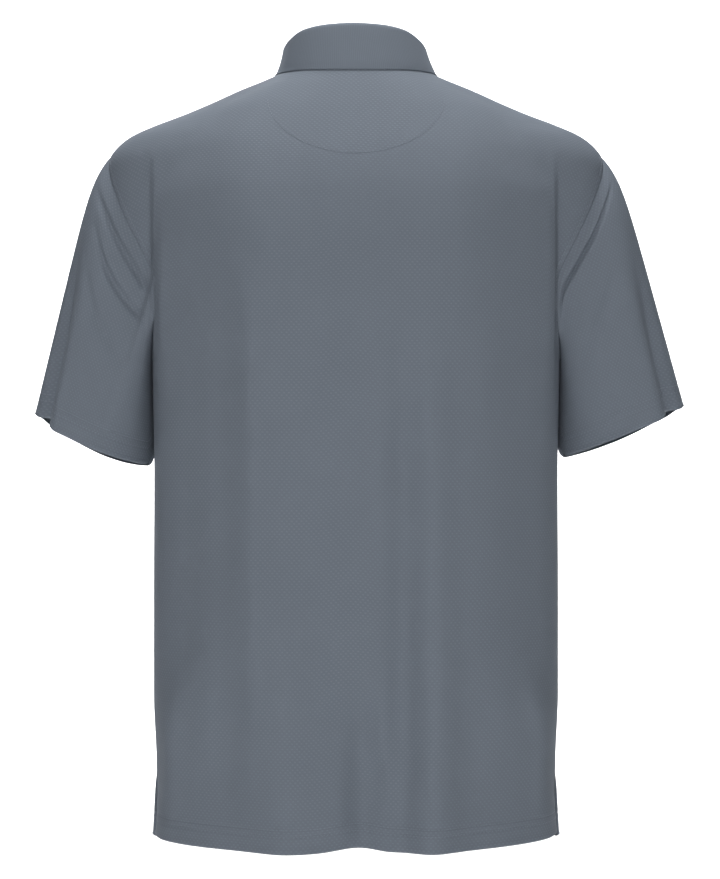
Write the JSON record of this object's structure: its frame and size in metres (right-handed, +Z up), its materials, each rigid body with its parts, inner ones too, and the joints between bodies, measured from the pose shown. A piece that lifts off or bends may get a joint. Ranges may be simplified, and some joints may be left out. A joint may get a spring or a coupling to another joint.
{
  "type": "polo shirt",
  "caption": "Short-sleeved knitted polo shirt with a folded collar, buttoned placket, double-stitched hems and side vents, filled out as worn.",
  "frame": {"origin": "centre of the neck base, level with the inner ends of the shoulder seams", "axes": "+X towards the wearer's left, +Y towards the back, +Z up the body"},
  "size_m": [0.649, 0.2721, 0.8041],
  "materials": {
    "pique": "matte slate grey-blue knit with fine staggered dimples",
    "rib": "matte slate grey-blue flat rib knit",
    "button": "satin moulded slate plastic"
  },
  "bodies": {
    "root": {"back": "pique", "front": "pique", "sleeve_left": "pique", "sleeve_right": "pique", "collar": "rib", "placket_over": "pique", "placket_under": "pique", "half_moon": "pique", "button_1": "button", "button_2": "button", "button_3": "button"}
  },
  "joints": []
}
